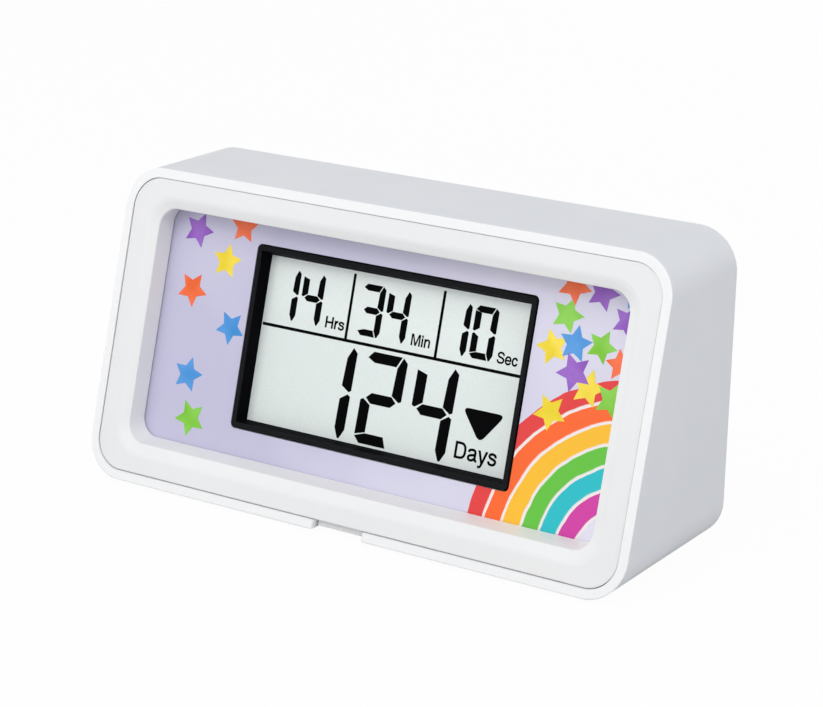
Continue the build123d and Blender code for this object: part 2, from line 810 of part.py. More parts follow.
# Switch bodies under the keys, each with a well for its plunger
with BuildPart() as key_switches:
    with BuildSketch(back_at(switch_front)):
        with Locations(*key_places):
            Rectangle(switch_side, switch_side)
            Circle(plunger_radius + plunger_gap, mode=Mode.SUBTRACT)
    extrude(amount=-switch_well)
    with BuildSketch(back_at(switch_front + switch_well)):
        with Locations(*key_places):
            Rectangle(switch_side, switch_side)
    extrude(amount=-(switch_height - switch_well))
finish(key_switches.part, "key_switches")

# Keys: dished cap, flange behind the cover, stem onto its plunger
cap_depth = cover_recess - key_proud
flange_depth = cover_inner + skin_gap
for place, name in zip(key_places, key_names):
    with BuildPart() as key:
        with BuildSketch(back_at(cap_depth)):
            with Locations(place):
                Circle(key_radius)
        extrude(amount=-(flange_depth - cap_depth))
        fillet(key.edges().filter_by(GeomType.CIRCLE).sort_by(Axis.Y)[-1], radius=key_edge)
        with BuildSketch(back_at(flange_depth)):
            with Locations(place):
                Circle(key_flange)
        extrude(amount=-key_flange_height)
        with BuildSketch(back_at(flange_depth + key_flange_height)):
            with Locations(place):
                Circle(key_stem)
        extrude(amount=-(plunger_depth - flange_depth - key_flange_height))
        # A ball this large leaves the shallow dish
        dish_reach = key_radius - 2 * key_edge
        dish_ball = (dish_reach**2 + key_dish**2) / (2 * key_dish)
        with Locations(back_at(cap_depth - dish_ball + key_dish).from_local_coords((*place, 0))):
            Sphere(dish_ball, mode=Mode.SUBTRACT)
    finish(key.part, f"key_{name}")
    with BuildPart() as plunger:
        with BuildSketch(back_at(plunger_depth)):
            with Locations(place):
                Circle(plunger_radius)
        extrude(amount=-plunger_length)
    finish(plunger.part, f"plunger_{name}")

# Slide switch: body on the key board, ribbed knob through the cover, flange that hides the slot
slider_flange_depth = cover_inner + skin_gap
slider_flange_back = slider_flange_depth + slider_flange_height
slider_stem_length = slider_body_front + slider_well - slider_gap - slider_flange_back
with BuildPart() as slide_switch:
    with BuildSketch(back_at(slider_body_front)):
        with Locations(slider_centre):
            Rectangle(slider_body_length, slider_body_height)
            Rectangle(
                slider_stem + slider_travel + 2 * slider_gap, slider_stem + 2 * slider_gap, mode=Mode.SUBTRACT
            )
    extrude(amount=-slider_well)
    with BuildSketch(back_at(slider_body_front + slider_well)):
        with Locations(slider_centre):
            Rectangle(slider_body_length, slider_body_height)
    extrude(amount=-(key_board_depth - slider_body_front - slider_well))
finish(slide_switch.part, "slide_switch")

with BuildPart() as slide_knob:
    with BuildSketch(back_at(cap_depth)):
        with Locations(slider_centre):
            Rectangle(slider_width, slider_height)
    extrude(amount=-(slider_flange_depth - cap_depth))
    with BuildSketch(back_at(cap_depth)):
        with Locations(slider_centre):
            with GridLocations(slider_rib_pitch, 0, slider_ribs, 1):
                Rectangle(slider_rib, slider_height)
    extrude(amount=-slider_rib, mode=Mode.SUBTRACT)
    with BuildSketch(back_at(slider_flange_depth)):
        with Locations(slider_centre):
            Rectangle(slider_width + 2 * slider_shield, slider_height + 2 * slider_flange)
    extrude(amount=-slider_flange_height)
    with BuildSketch(back_at(slider_flange_back)):
        with Locations(slider_centre):
            Rectangle(slider_stem, slider_stem)
    extrude(amount=-slider_stem_length)
finish(slide_knob.part, "slide_knob")

# Buzzer: open cup with its mouth at the sound slots, and the disc in it
buzzer_front = cover_inner + skin_gap
with BuildPart() as buzzer_case:
    with BuildSketch(back_at(buzzer_front)):
        with Locations(buzzer_centre):
            Circle(buzzer_radius)
    extrude(amount=-buzzer_height)
    with BuildSketch(back_at(buzzer_front + buzzer_wall)):
        with Locations(buzzer_centre):
            Circle(buzzer_radius - buzzer_wall)
    extrude(amount=-buzzer_height, mode=Mode.SUBTRACT)
    with BuildSketch(back_at(buzzer_front - overrun)):
        with Locations(buzzer_centre):
            Circle(buzzer_mouth_radius)
    extrude(amount=-(buzzer_wall + 2 * overrun), mode=Mode.SUBTRACT)
finish(buzzer_case.part, "buzzer_case")

with BuildPart() as buzzer_disc:
    with BuildSketch(back_at(buzzer_front + buzzer_wall)):
        with Locations(buzzer_centre):
            Circle(buzzer_radius - buzzer_wall - skin_gap)
    extrude(amount=-buzzer_disc_thickness)
finish(buzzer_disc.part, "buzzer_disc")
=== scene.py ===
import math
import bpy
import bmesh
from mathutils import Matrix, Vector


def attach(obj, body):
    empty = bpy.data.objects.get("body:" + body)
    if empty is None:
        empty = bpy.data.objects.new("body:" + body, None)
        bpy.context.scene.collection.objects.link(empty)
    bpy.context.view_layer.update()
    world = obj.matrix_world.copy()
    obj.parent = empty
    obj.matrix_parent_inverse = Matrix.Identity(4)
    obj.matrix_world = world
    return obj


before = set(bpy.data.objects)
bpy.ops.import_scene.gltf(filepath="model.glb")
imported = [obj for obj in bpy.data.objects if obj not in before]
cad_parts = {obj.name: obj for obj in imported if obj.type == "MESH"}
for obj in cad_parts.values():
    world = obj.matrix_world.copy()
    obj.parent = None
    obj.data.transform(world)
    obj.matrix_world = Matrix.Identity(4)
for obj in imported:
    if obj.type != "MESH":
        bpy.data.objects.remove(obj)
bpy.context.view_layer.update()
print("frame loaded")

mm = 0.001

# The leaning face: x runs to the right, up runs up the slope, depth runs into the case
face = {"lean": math.radians(15), "frontY": -21.51, "bottomZ": 0.8}
faceUp = Vector((0, math.sin(face["lean"]), math.cos(face["lean"])))
faceOut = Vector((0, -math.cos(face["lean"]), math.sin(face["lean"])))
faceFoot = Vector((0, face["frontY"], face["bottomZ"])) * mm


def onFace(x, up, depth):
    return faceFoot + Vector((x * mm, 0, 0)) + faceUp * (up * mm) - faceOut * (depth * mm)


def startMaterial(name):
    material = bpy.data.materials.new(name)
    material.use_nodes = True
    tree = material.node_tree
    tree.nodes.clear()
    output = tree.nodes.new("ShaderNodeOutputMaterial")
    shader = tree.nodes.new("ShaderNodeBsdfPrincipled")
    tree.links.new(shader.outputs["BSDF"], output.inputs["Surface"])
    where = tree.nodes.new("ShaderNodeTexCoord").outputs["Object"]
    return material, tree, shader, where


noiseRoughness = 0.55
noiseSpread = (0.3, 0.7)  # nearly all of a noise lies between these levels
bevelSamples = 4


def addNoise(tree, where, scale, detail=3.0):
    noise = tree.nodes.new("ShaderNodeTexNoise")
    noise.inputs["Scale"].default_value = scale
    noise.inputs["Detail"].default_value = detail
    noise.inputs["Roughness"].default_value = noiseRoughness
    tree.links.new(where, noise.inputs["Vector"])
    return noise.outputs["Fac"]


def addRange(tree, value, low, high, toLow=0.0, toHigh=1.0):
    span = tree.nodes.new("ShaderNodeMapRange")
    span.inputs["From Min"].default_value = low
    span.inputs["From Max"].default_value = high
    span.inputs["To Min"].default_value = toLow
    span.inputs["To Max"].default_value = toHigh
    tree.links.new(value, span.inputs["Value"])
    return span.outputs["Result"]


def addPatches(tree, where, scale, detail=3.0, between=noiseSpread, giving=(0.0, 1.0)):
    # Noise between two levels, spread over the range that is wanted
    return addRange(tree, addNoise(tree, where, scale, detail), *between, *giving)


def addMath(tree, kind, first, second=0.0):
    step = tree.nodes.new("ShaderNodeMath")
    step.operation = kind
    for socket, value in zip(step.inputs, (first, second)):
        if isinstance(value, (int, float)):
            socket.default_value = value
        else:
            tree.links.new(value, socket)
    return step.outputs["Value"]


def addVector(tree, kind, first, second):
    step = tree.nodes.new("ShaderNodeVectorMath")
    step.operation = kind
    tree.links.new(first, step.inputs[0])
    if isinstance(second, Vector):
        step.inputs[1].default_value = second
    else:
        tree.links.new(second, step.inputs[1])
    return step.outputs["Value" if kind == "DOT_PRODUCT" else "Vector"]


def addParts(tree, vector):
    parts = tree.nodes.new("ShaderNodeSeparateXYZ")
    tree.links.new(vector, parts.inputs["Vector"])
    return parts.outputs


def addLength(tree, first, second):
    # Of the long side of a right triangle with these two sides
    squares = [addMath(tree, "MULTIPLY", side, side) for side in (first, second)]
    return addMath(tree, "SQRT", addMath(tree, "ADD", *squares))


def addMix(tree, factor, first, second):
    mix = tree.nodes.new("ShaderNodeMix")
    mix.data_type = "RGBA"
    tree.links.new(factor, mix.inputs["Factor"])
    for socket, value in ((mix.inputs["A"], first), (mix.inputs["B"], second)):
        if isinstance(value, tuple):
            socket.default_value = (*value, 1)
        else:
            tree.links.new(value, socket)
    return mix.outputs["Result"]


def addEdges(tree, radius, start=0.02, full=0.25):
    # 0 on flats, towards 1 where the surface turns sharply
    soft = tree.nodes.new("ShaderNodeBevel")
    soft.samples = bevelSamples
    soft.inputs["Radius"].default_value = radius
    plain = tree.nodes.new("ShaderNodeNewGeometry")
    dot = addVector(tree, "DOT_PRODUCT", soft.outputs["Normal"], plain.outputs["Normal"])
    return addRange(tree, addMath(tree, "SUBTRACT", 1.0, dot), start, full)


def addBump(tree, shader, height, strength, distance):
    bump = tree.nodes.new("ShaderNodeBump")
    bump.inputs["Strength"].default_value = strength
    bump.inputs["Distance"].default_value = distance
    tree.links.new(height, bump.inputs["Height"])
    tree.links.new(bump.outputs["Normal"], shader.inputs["Normal"])


def addFrontBand(tree, where, depth, fade=0.3):
    # 1 in front of this depth in mm, 0 behind it, past the fade
    forward = addVector(tree, "DOT_PRODUCT", addVector(tree, "SUBTRACT", where, faceFoot), faceOut)
    return addRange(tree, forward, -(depth + fade) * mm, -depth * mm)


plasticDetail = {
    "cloudScale": 38.0,  # faint cloudiness of the colour
    "cloudBetween": (0.35, 0.68),
    "wearAndSheenScale": 160.0,
    "wearAndSheenBetween": (0.4, 0.7),
    "leastWearAndSheen": 0.1,
    "edgeRadius": 0.0005,
    "edgeShine": 0.12,  # how much smoother a rubbed edge is
    "dullScale": 95.0,
    "grainStrength": 0.35,
}
plastics = {
    # caseWhite's colour and shade are darker and bluer than frameWhite: painted shade and painted blue light on
    # the case's top and sides, with its front colour as the lighter lit copy. coverWhite carries the same
    # painted darker, bluer tint.
    "caseWhite": {"colour": (0.700, 0.711, 0.738), "shade": (0.682, 0.694, 0.723),
                  "edge": (0.79, 0.795, 0.81), "rough": (0.42, 0.52), "paintedLightFront": (0.862, 0.862, 0.86)},
    "frameWhite": {"colour": (0.806, 0.804, 0.802), "shade": (0.79, 0.788, 0.787),
                   "edge": (0.88, 0.878, 0.876), "rough": (0.38, 0.48)},
    "coverWhite": {"colour": (0.705, 0.716, 0.742), "shade": (0.684, 0.696, 0.724),
                   "edge": (0.82, 0.825, 0.84), "rough": (0.46, 0.58), "grain": 1100.0, "grainDepth": 0.00004},
    "keyGrey": {"colour": (0.60, 0.61, 0.64), "shade": (0.57, 0.58, 0.61),
                "edge": (0.70, 0.71, 0.74), "rough": (0.36, 0.46)},
    # surroundBlack's front colour is painted light: its front face is made lighter than its inner walls, and
    # its lighter edges are painted edge highlights.
    "surroundBlack": {"colour": (0.002, 0.002, 0.003), "shade": (0.004, 0.004, 0.005),
                      "edge": (0.02, 0.02, 0.022), "rough": (0.5, 0.6), "edgeAmount": 0.8,
                      "gloss": 0.05, "ior": 1.2, "paintedLightFront": (0.0125, 0.013, 0.0145), "paintedLightFrontDepth": 5.95},
    "innerBlack": {"colour": (0.02, 0.02, 0.02), "shade": (0.03, 0.03, 0.03),
                   "edge": (0.06, 0.06, 0.06), "rough": (0.45, 0.6)},
    "blobResin": {"colour": (0.012, 0.012, 0.012), "shade": (0.02, 0.02, 0.02),
                  "edge": (0.03, 0.03, 0.03), "rough": (0.15, 0.25), "grain": 500.0},
    "segmentInk": {"colour": (0.001, 0.001, 0.0012), "shade": (0.002, 0.002, 0.0025),
                   "edge": (0.003, 0.003, 0.0035), "rough": (0.5, 0.6), "grain": 2600.0, "gloss": 0.02},
}


def mouldedPlastic(name, colour, shade, edge, rough, grain=1400.0, grainDepth=0.00002,
                   edgeAmount=0.5, gloss=0.5, ior=1.48, paintedLightFront=None, paintedLightFrontDepth=0.1):
    # Satin moulded plastic: faint cloudiness, fine spark-eroded grain, edges smoother from rubbing and painted
    # lighter, partly as wearing and partly as painted edge highlight; a given front colour is painted light on
    # the front band
    material, tree, shader, where = startMaterial(name)
    detail = plasticDetail
    cloud = addPatches(tree, where, detail["cloudScale"], 4.0, detail["cloudBetween"])
    body = addMix(tree, cloud, colour, shade)
    # The lighter edge colour is partly wearing, partly painted edge highlight; the same mask makes the edges
    # smoother
    wearAndSheenRange = (detail["leastWearAndSheen"], edgeAmount)
    rubbedAndSheenPatches = addPatches(tree, where, detail["wearAndSheenScale"], between=detail["wearAndSheenBetween"], giving=wearAndSheenRange)
    wornAndSheenEdges = addMath(tree, "MULTIPLY", addEdges(tree, detail["edgeRadius"]), rubbedAndSheenPatches)
    # A given front colour is painted light: the band in front of its depth is made lighter than the top and
    # sides.
    if paintedLightFront:
        body = addMix(tree, addFrontBand(tree, where, paintedLightFrontDepth), body, paintedLightFront)
    tree.links.new(addMix(tree, wornAndSheenEdges, body, edge), shader.inputs["Base Color"])
    dull = addPatches(tree, where, detail["dullScale"], 5.0, giving=rough)
    smoother = addMath(tree, "MULTIPLY", wornAndSheenEdges, detail["edgeShine"])
    tree.links.new(addMath(tree, "SUBTRACT", dull, smoother), shader.inputs["Roughness"])
    addBump(tree, shader, addNoise(tree, where, grain, 2.0), detail["grainStrength"], grainDepth)
    shader.inputs["IOR"].default_value = ior
    shader.inputs["Specular IOR Level"].default_value = gloss
    return material


metalDetail = {
    "lineScale": 900.0,
    "lineStretch": (0.08, 1.0, 1.0),
    "lineStrength": 0.25,
    "lineDepth": 0.00001,
    "patchScale": 240.0,
    "patchBetween": (0.4, 0.75),
    "edgeRadius": 0.00025,
    "edgeShine": 1.12,
}
metals = {
    "screwSteel": {"colour": (0.56, 0.56, 0.57), "tarnish": (0.42, 0.42, 0.43), "rough": (0.28, 0.45)},
    "contactNickel": {"colour": (0.72, 0.70, 0.66), "tarnish": (0.60, 0.58, 0.54), "rough": (0.18, 0.32)},
    "discBrass": {"colour": (0.75, 0.55, 0.22), "tarnish": (0.58, 0.42, 0.18), "rough": (0.25, 0.4)},
}


def platedMetal(name, colour, tarnish, rough):
    # Plated metal: fine drawn lines, patchy dullness, edges painted brighter as a highlight
    material, tree, shader, where = startMaterial(name)
    detail = metalDetail
    stretch = tree.nodes.new("ShaderNodeMapping")
    stretch.inputs["Scale"].default_value = detail["lineStretch"]
    tree.links.new(where, stretch.inputs["Vector"])
    lines = addNoise(tree, stretch.outputs["Vector"], detail["lineScale"])
    patches = addPatches(tree, where, detail["patchScale"], 4.0, detail["patchBetween"])
    body = addMix(tree, patches, colour, tarnish)
    # Painted highlight: the edges are made brighter than the body colour
    bright = tuple(min(1.0, part * detail["edgeShine"]) for part in colour)
    edges = addEdges(tree, detail["edgeRadius"])
    tree.links.new(addMix(tree, edges, body, bright), shader.inputs["Base Color"])
    tree.links.new(addRange(tree, lines, *noiseSpread, *rough), shader.inputs["Roughness"])
    shader.inputs["Metallic"].default_value = 1.0
    addBump(tree, shader, lines, detail["lineStrength"], detail["lineDepth"])
    return material


rubberDetail = {
    "dustScale": 420.0,
    "dustBetween": (0.45, 0.75),
    "grainScale": 2200.0,
    "grainStrength": 0.4,
    "grainDepth": 0.00003,
    "gloss": 0.3,
}
rubbers = {
    "footRubber": {"colour": (0.025, 0.025, 0.026), "shade": (0.07, 0.07, 0.07), "rough": (0.7, 0.9)},
    "stripRubber": {"colour": (0.62, 0.22, 0.26), "shade": (0.72, 0.36, 0.38), "rough": (0.6, 0.8)},
}


def softRubber(name, colour, shade, rough):
    # Matt rubber with dust in its fine grain
    material, tree, shader, where = startMaterial(name)
    detail = rubberDetail
    dust = addNoise(tree, where, detail["dustScale"], 6.0)
    dusty = addRange(tree, dust, *detail["dustBetween"])
    tree.links.new(addMix(tree, dusty, colour, shade), shader.inputs["Base Color"])
    tree.links.new(addRange(tree, dust, *noiseSpread, *rough), shader.inputs["Roughness"])
    grain = addNoise(tree, where, detail["grainScale"], 2.0)
    addBump(tree, shader, grain, detail["grainStrength"], detail["grainDepth"])
    shader.inputs["Specular IOR Level"].default_value = detail["gloss"]
    return material


board = {
    "lacquer": (0.015, 0.13, 0.05),
    "track": (0.05, 0.24, 0.10),
    "trackScale": 260.0,
    "trackEdge": (0.03, 0.06),
    "patchScale": 120.0,
    "rough": (0.22, 0.38),
    "reliefStrength": 0.5,
    "relief": 0.00004,
}


def lacqueredBoard(name, settings):
    # Green lacquer over copper tracks that show as slightly lighter, raised lines
    material, tree, shader, where = startMaterial(name)
    fields = tree.nodes.new("ShaderNodeTexVoronoi")
    fields.feature = "DISTANCE_TO_EDGE"
    fields.inputs["Scale"].default_value = settings["trackScale"]
    tree.links.new(where, fields.inputs["Vector"])
    lines = addRange(tree, fields.outputs["Distance"], *settings["trackEdge"], 1.0, 0.0)
    tree.links.new(addMix(tree, lines, settings["lacquer"], settings["track"]), shader.inputs["Base Color"])
    dull = addPatches(tree, where, settings["patchScale"], giving=settings["rough"])
    tree.links.new(dull, shader.inputs["Roughness"])
    addBump(tree, shader, lines, settings["reliefStrength"], settings["relief"])
    return material


display = {
    "colour": (0.745, 0.80, 0.775),
    "fleck": (0.70, 0.765, 0.74),
    "fleckScale": 2600.0,
    "fleckBetween": (0.35, 0.7),
    # Painted shade colour for the display's left edge
    "shade": (0.36, 0.40, 0.39),
    "leftEdge": -0.03192,
    "paintedShadeWidth": 0.0022,
    "paintedShadeAmount": 0.18,
    "patchScale": 60.0,
    "rough": (0.32, 0.42),
    "grainScale": 1800.0,
    "grainStrength": 0.15,
    "grainDepth": 0.00001,
    "coat": 0.6,
    "coatRough": 0.06,
}


def displayGlass(name, settings):
    # Reflective display: pale grey-green reflector seen through glass, with painted shade along its left edge
    # where the surround's wall shades it
    material, tree, shader, where = startMaterial(name)
    edge = settings["leftEdge"]
    across = addParts(tree, where)["X"]
    paintedShadeMask = addRange(tree, across, edge, edge + settings["paintedShadeWidth"], settings["paintedShadeAmount"], 0.0)
    flecks = addPatches(tree, where, settings["fleckScale"], 2.0, settings["fleckBetween"])
    pale = addMix(tree, flecks, settings["colour"], settings["fleck"])
    tree.links.new(addMix(tree, paintedShadeMask, pale, settings["shade"]), shader.inputs["Base Color"])
    dull = addPatches(tree, where, settings["patchScale"], giving=settings["rough"])
    tree.links.new(dull, shader.inputs["Roughness"])
    grain = addNoise(tree, where, settings["grainScale"])
    addBump(tree, shader, grain, settings["grainStrength"], settings["grainDepth"])
    shader.inputs["Coat Weight"].default_value = settings["coat"]
    shader.inputs["Coat Roughness"].default_value = settings["coatRough"]
    return material


cardPrint = {
    "lilac": (0.535, 0.515, 0.68),
    "paleLilac": (0.74, 0.72, 0.83),
    "driftFrom": -0.115,  # the lilac pales from here to there, measured from the arches' centre
    "driftTo": -0.005,
    "driftAmount": 0.75,
    "washScale": 22.0,
    "washBetween": (0.35, 0.7),
    "washAmount": (-0.25, 0.35),
    "centre": (62.0, 6.0, 6.3),  # of the arches, on the face, in mm
    "firstRadius": 12.0,
    "bandWidth": 4.1,
    "bands": [(0.62, 0.03, 0.35), (0.0, 0.50, 0.56), (0.11, 0.52, 0.03),
              (0.95, 0.50, 0.01), (0.95, 0.12, 0.005), (0.75, 0.03, 0.03)],
    "wobble": 0.00025,
    "wobbleScale": 120.0,
    "gap": 0.12,  # pale line between bands, as a share of a band
    "gapEdge": 0.06,
    "gapColour": (0.86, 0.80, 0.78),
    "outlineEdge": 0.0001,
    "patchScale": 300.0,
    "rough": (0.36, 0.48),
    "grainScale": 1600.0,
    "grainStrength": 0.12,
    "grainDepth": 0.00001,
}


def printedCard(name, settings):
    # Lilac wash with quarter arches in the lower right corner
    material, tree, shader, where = startMaterial(name)
    place = addVector(tree, "SUBTRACT", where, onFace(*settings["centre"]))
    across = addParts(tree, place)["X"]
    upward = addVector(tree, "DOT_PRODUCT", place, faceUp)
    reach = settings["wobble"]
    wobble = addPatches(tree, where, settings["wobbleScale"], giving=(-reach, reach))
    radius = addMath(tree, "ADD", addLength(tree, across, upward), wobble)
    count = len(settings["bands"])
    inner = settings["firstRadius"] * mm
    outer = inner + count * settings["bandWidth"] * mm
    share = addRange(tree, radius, inner, outer)
    ramp = tree.nodes.new("ShaderNodeValToRGB")
    ramp.color_ramp.interpolation = "CONSTANT"
    stops = ramp.color_ramp.elements
    for n, colour in enumerate(settings["bands"]):
        stop = stops[n] if n < 2 else stops.new(n / count)
        stop.position = n / count
        stop.color = (*colour, 1)
    tree.links.new(share, ramp.inputs["Fac"])
    inBand = addMath(tree, "FRACT", addMath(tree, "MULTIPLY", share, float(count)))
    line = addRange(tree, inBand, settings["gap"], settings["gap"] + settings["gapEdge"], 1.0, 0.0)
    bands = addMix(tree, line, ramp.outputs["Color"], settings["gapColour"])
    edge = settings["outlineEdge"]
    inside = addMath(tree, "MULTIPLY", addRange(tree, radius, inner, inner + edge),
                     addRange(tree, radius, outer - edge, outer, 1.0, 0.0))
    drift = addRange(tree, across, settings["driftFrom"], settings["driftTo"], 0.0, settings["driftAmount"])
    wash = addPatches(tree, where, settings["washScale"], 2.0, settings["washBetween"], settings["washAmount"])
    soft = tree.nodes.new("ShaderNodeClamp")
    tree.links.new(addMath(tree, "ADD", drift, wash), soft.inputs["Value"])
    ground = addMix(tree, soft.outputs["Result"], settings["lilac"], settings["paleLilac"])
    tree.links.new(addMix(tree, inside, ground, bands), shader.inputs["Base Color"])
    dull = addPatches(tree, where, settings["patchScale"], giving=settings["rough"])
    tree.links.new(dull, shader.inputs["Roughness"])
    grain = addNoise(tree, where, settings["grainScale"])
    addBump(tree, shader, grain, settings["grainStrength"], settings["grainDepth"])
    return material


cellFinish = {
    "cellUpper": {"axis": (0, 13.36, 27.05), "towards": -1},
    "cellLower": {"axis": (0, 13.36, 15.55), "towards": 1},
    "flatEnd": -19.72,  # along the cell from the flat end to the end with the nub, in mm
    "bandFrom": 12.6,
    "bandEdge": 0.1,
    "bandShine": 0.75,
    "shoulder": 23.62,
    "crimp": 4.55,  # the jacket is folded over the ends as far in as this radius
    "jacket": (0.014, 0.015, 0.018),
    "jacketShade": (0.022, 0.024, 0.028),
    "cloudScale": 60.0,
    "cloudBetween": (0.35, 0.7),
    "band": (0.62, 0.30, 0.10),
    "metal": (0.70, 0.69, 0.66),
    "rough": (0.22, 0.34),
    "scuffScale": 300.0,
    "scuffStrength": 0.1,
    "scuffDepth": 0.00001,
}


def dryCell(name, settings):
    # Dark jacket with a copper band next to the nub, and bare metal ends
    material, tree, shader, where = startMaterial(name)
    parts = addParts(tree, addVector(tree, "SUBTRACT", where, Vector(settings[name]["axis"]) * mm))
    along = addMath(tree, "MULTIPLY", parts["X"], settings[name]["towards"] / mm)
    radius = addLength(tree, parts["Y"], parts["Z"])
    inEnd = addMath(tree, "LESS_THAN", radius, settings["crimp"] * mm)
    beyond = addMath(tree, "MAXIMUM", addMath(tree, "LESS_THAN", along, settings["flatEnd"]),
                     addMath(tree, "GREATER_THAN", along, settings["shoulder"]))
    bare = addMath(tree, "MULTIPLY", inEnd, beyond)
    cloud = addPatches(tree, where, settings["cloudScale"], between=settings["cloudBetween"])
    jacket = addMix(tree, cloud, settings["jacket"], settings["jacketShade"])
    banded = addRange(tree, along, settings["bandFrom"], settings["bandFrom"] + settings["bandEdge"])
    body = addMix(tree, banded, jacket, settings["band"])
    tree.links.new(addMix(tree, bare, body, settings["metal"]), shader.inputs["Base Color"])
    shine = addMath(tree, "MULTIPLY", banded, settings["bandShine"])
    tree.links.new(addMath(tree, "MAXIMUM", bare, shine), shader.inputs["Metallic"])
    scuffs = addNoise(tree, where, settings["scuffScale"], 4.0)
    tree.links.new(addRange(tree, scuffs, *noiseSpread, *settings["rough"]), shader.inputs["Roughness"])
    addBump(tree, shader, scuffs, settings["scuffStrength"], settings["scuffDepth"])
    return material


finishes = {}
for makeFinish, kinds in ((mouldedPlastic, plastics), (platedMetal, metals), (softRubber, rubbers)):
    finishes.update({name: makeFinish(name, **facts) for name, facts in kinds.items()})
finishes["boardGreen"] = lacqueredBoard("boardGreen", board)
finishes["displayPale"] = displayGlass("displayPale", display)
finishes["cardPrint"] = printedCard("cardPrint", cardPrint)
for name in ("cellUpper", "cellLower"):
    finishes[name] = dryCell(name, cellFinish)
nodeFinishes = {
    "caseWhite": ["case_shell"],
    "frameWhite": ["front_frame"],
    "coverWhite": ["back_cover", "battery_door"],
    "cardPrint": ["picture_card"],
    "surroundBlack": ["display_surround"],
    "displayPale": ["display_glass"],
    "keyGrey": ["slide_knob", "key_days", "key_hours", "key_minutes", "key_seconds", "key_start"],
    "innerBlack": ["key_switches", "slide_switch", "buzzer_case", "plunger_days", "plunger_hours",
                   "plunger_minutes", "plunger_seconds", "plunger_start"],
    "boardGreen": ["main_board", "key_board"],
    "screwSteel": ["main_board_screws", "key_board_screws", "back_cover_screws"],
    "contactNickel": ["display_reflector", "crystal", "contact_bridge", "contact_positive", "contact_negative"],
    "stripRubber": ["contact_strip"],
    "footRubber": ["feet"],
    "blobResin": ["chip_blob"],
    "discBrass": ["buzzer_disc"],
    "cellUpper": ["battery_upper"],
    "cellLower": ["battery_lower"],
}
for kind, names in nodeFinishes.items():
    for name in names:
        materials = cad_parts[name].data.materials
        materials.clear()
        materials.append(finishes[kind])
print("finishes set")


def addPiece(name, data, body):
    piece = bpy.data.objects.new(name, data)
    bpy.context.scene.collection.objects.link(piece)
    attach(piece, body)


def scratchObject(name, data):
    # Carries a mesh while it is made, and is removed afterwards
    made = bpy.data.objects.new(name, data)
    bpy.context.scene.collection.objects.link(made)
    return made


def takeMesh(carrier):
    # The mesh as its nodes leave it
    bpy.context.view_layer.update()
    made = bpy.data.meshes.new_from_object(carrier.evaluated_get(bpy.context.evaluated_depsgraph_get()))
    bpy.data.objects.remove(carrier)
    return made


def startTree(name):
    tree = bpy.data.node_groups.new(name, "GeometryNodeTree")
    tree.interface.new_socket("Geometry", in_out="INPUT", socket_type="NodeSocketGeometry")
    tree.interface.new_socket("Geometry", in_out="OUTPUT", socket_type="NodeSocketGeometry")
    return tree, tree.nodes.new("NodeGroupInput").outputs


def endTree(tree, geometry, material):
    real = tree.nodes.new("GeometryNodeRealizeInstances")
    paint = tree.nodes.new("GeometryNodeSetMaterial")
    end = tree.nodes.new("NodeGroupOutput")
    paint.inputs["Material"].default_value = material
    tree.links.new(geometry, real.inputs["Geometry"])
    tree.links.new(real.outputs["Geometry"], paint.inputs["Geometry"])
    tree.links.new(paint.outputs["Geometry"], end.inputs["Geometry"])


segments = {
    "depth": 9.07,  # just in front of the glass
    "thickness": 0.02,
    "small": {"width": 5.4, "height": 10.65, "stroke": 1.5, "pitch": 6.2,
              "lean": math.radians(0.3), "foot": 39.98},
    "large": {"width": 9.7, "height": 19.0, "stroke": 2.45, "pitch": 12.25,
              "lean": math.radians(1.3), "foot": 18.22},
    # Each number, where its last digit ends, and its size
    "numbers": [("14", -17.75, "small"), ("34", 3.35, "small"), ("10", 24.0, "small"), ("124", 16.85, "large")],
    "levelBar": 0.9,  # the level strokes are a little thinner than the upright ones
}
# The strokes that each digit lights
lit = {"0": "abcdef", "1": "bc", "2": "abged", "3": "abgcd", "4": "fgbc",
       "5": "afgcd", "6": "afgedc", "7": "abc", "8": "abcdefg", "9": "abcdfg"}


def segmentOutlines(size):
    # Seven strokes with blunt, slanting ends in a box from 0,0 to width,height
    w, h, s = size["width"], size["height"], size["stroke"]
    m = h / 2
    bar = segments["levelBar"] * s
    return {
        "a": [(0.05 * s, h - 0.55 * s), (0.55 * s, h), (w - 0.58 * s, h), (w - 1.05 * s, h - bar),
              (0.75 * s, h - bar)],
        "b": [(w - 0.45 * s, h - 0.05 * s), (w, h - 0.45 * s), (w, m + 0.22 * s), (w - 0.25 * s, m + 0.09 * s),
              (w - s, m + 0.55 * s), (w - 0.92 * s, h - 0.98 * s)],
        "c": [(w - s, m - 0.57 * s), (w - 0.28 * s, m - 0.1 * s), (w, m - 0.28 * s), (w, 0.78 * s),
              (w - 0.42 * s, 0), (w - 0.6 * s, 0), (w - s, 0.85 * s)],
        "d": [(0, 0.57 * s), (0.55 * s, 0), (w - 0.8 * s, 0), (w - 1.15 * s, bar), (s, bar)],
        "e": [(0, 0.7 * s), (0, m - 0.25 * s), (0.25 * s, m - 0.1 * s), (s, m - 0.58 * s), (s, 0.98 * s)],
        "f": [(0, h - 0.68 * s), (s, h - 0.97 * s), (s, m + 0.57 * s), (0.27 * s, m + 0.1 * s),
              (0, m + 0.22 * s)],
        "g": [(0.5 * s, m), (s, m + bar / 2), (w - s, m + bar / 2), (w - 0.5 * s, m),
              (w - s, m - bar / 2), (s, m - bar / 2)],
    }


def closePlate(mesh, front, back):
    # Two rings of corners, one behind the other, become a closed plate
    mesh.faces.new(front)
    mesh.faces.new(back[::-1])
    for n in range(len(front)):
        mesh.faces.new((front[n - 1], back[n - 1], back[n], front[n]))


